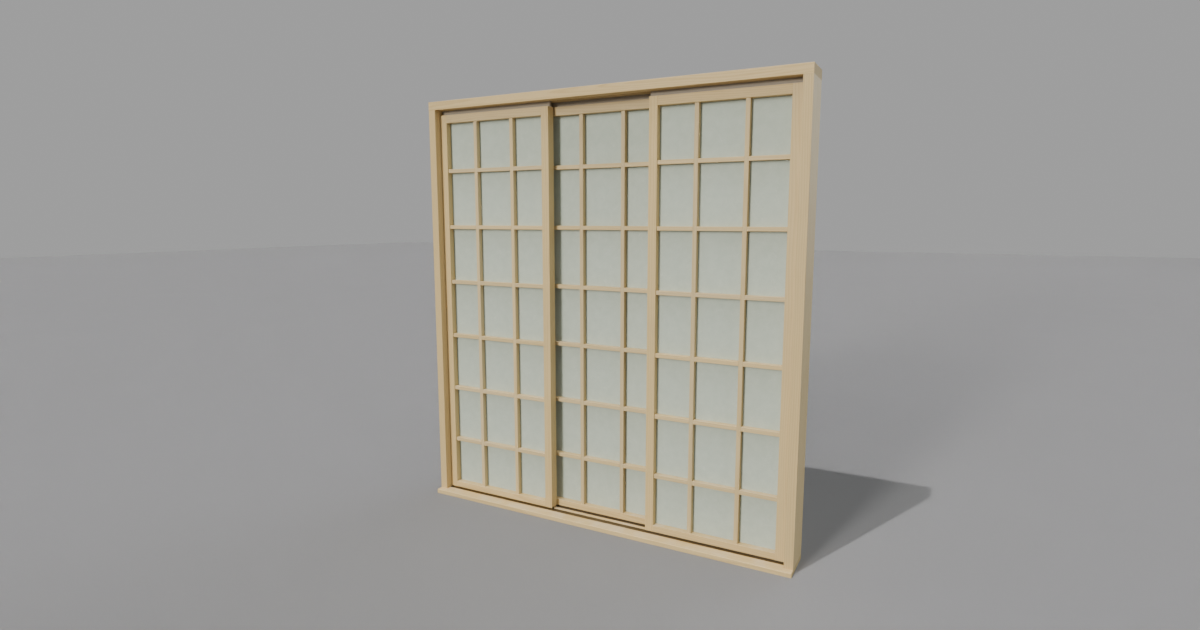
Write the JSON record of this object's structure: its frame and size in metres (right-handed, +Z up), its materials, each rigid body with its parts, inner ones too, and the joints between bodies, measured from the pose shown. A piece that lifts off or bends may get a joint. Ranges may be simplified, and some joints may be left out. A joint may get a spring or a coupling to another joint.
{
  "type": "shoji sliding screen",
  "caption": "Wooden sliding screen with paper-backed lattice panels that run past each other on two tracks, in its own head, sill and jamb frame.",
  "frame": {"origin": "on the ground, under the middle of the frame's width and of its whole depth with the sill's nosing", "axes": "+Z up; -Y is the front, which the lattice faces; +X to the right as seen from the front, along the tracks"},
  "size_m": [1.82, 0.182, 1.976],
  "materials": {
    "frame_timber": "planed pale softwood, unvarnished",
    "panel_timber": "planed pale softwood, unvarnished",
    "lattice_timber": "planed pale softwood, unvarnished",
    "track_timber": "dark hardwood, rubbed smooth where the runners slide",
    "washi": "matt laminated paper with fine fibres",
    "screw_brass": "dull brass"
  },
  "bodies": {
    "frame": {"head": "frame_timber", "sill": "frame_timber", "left_jamb": "frame_timber", "right_jamb": "frame_timber", "front_track": "track_timber", "rear_track": "track_timber", "frame_screws": "screw_brass"},
    "left_panel": {"left_panel_stile_left": "panel_timber", "left_panel_stile_right": "panel_timber", "left_panel_top_rail": "panel_timber", "left_panel_bottom_rail": "panel_timber", "left_panel_foot_runner": "track_timber", "left_panel_paper": "washi", "left_panel_upright_bar_1": "lattice_timber", "left_panel_upright_bar_2": "lattice_timber", "left_panel_cross_bar_1": "lattice_timber", "left_panel_cross_bar_2": "lattice_timber", "left_panel_cross_bar_3": "lattice_timber", "left_panel_cross_bar_4": "lattice_timber", "left_panel_cross_bar_5": "lattice_timber", "left_panel_cross_bar_6": "lattice_timber"},
    "centre_panel": {"centre_panel_stile_left": "panel_timber", "centre_panel_stile_right": "panel_timber", "centre_panel_top_rail": "panel_timber", "centre_panel_bottom_rail": "panel_timber", "centre_panel_foot_runner": "track_timber", "centre_panel_paper": "washi", "centre_panel_upright_bar_1": "lattice_timber", "centre_panel_upright_bar_2": "lattice_timber", "centre_panel_cross_bar_1": "lattice_timber", "centre_panel_cross_bar_2": "lattice_timber", "centre_panel_cross_bar_3": "lattice_timber", "centre_panel_cross_bar_4": "lattice_timber", "centre_panel_cross_bar_5": "lattice_timber", "centre_panel_cross_bar_6": "lattice_timber"},
    "right_panel": {"right_panel_stile_left": "panel_timber", "right_panel_stile_right": "panel_timber", "right_panel_top_rail": "panel_timber", "right_panel_bottom_rail": "panel_timber", "right_panel_foot_runner": "track_timber", "right_panel_paper": "washi", "right_panel_upright_bar_1": "lattice_timber", "right_panel_upright_bar_2": "lattice_timber", "right_panel_cross_bar_1": "lattice_timber", "right_panel_cross_bar_2": "lattice_timber", "right_panel_cross_bar_3": "lattice_timber", "right_panel_cross_bar_4": "lattice_timber", "right_panel_cross_bar_5": "lattice_timber", "right_panel_cross_bar_6": "lattice_timber"}
  },
  "joints": [
    {"name": "left_panel_slide", "type": "slide", "parent": "frame", "child": "left_panel", "axis": [1, 0, 0], "range_m": [0, 0.249]},
    {"name": "centre_panel_slide", "type": "slide", "parent": "frame", "child": "centre_panel", "axis": [1, 0, 0], "range_m": [-0.5545, 0.5665]},
    {"name": "right_panel_slide", "type": "slide", "parent": "frame", "child": "right_panel", "axis": [1, 0, 0], "range_m": [-0.243, 0.006]}
  ]
}
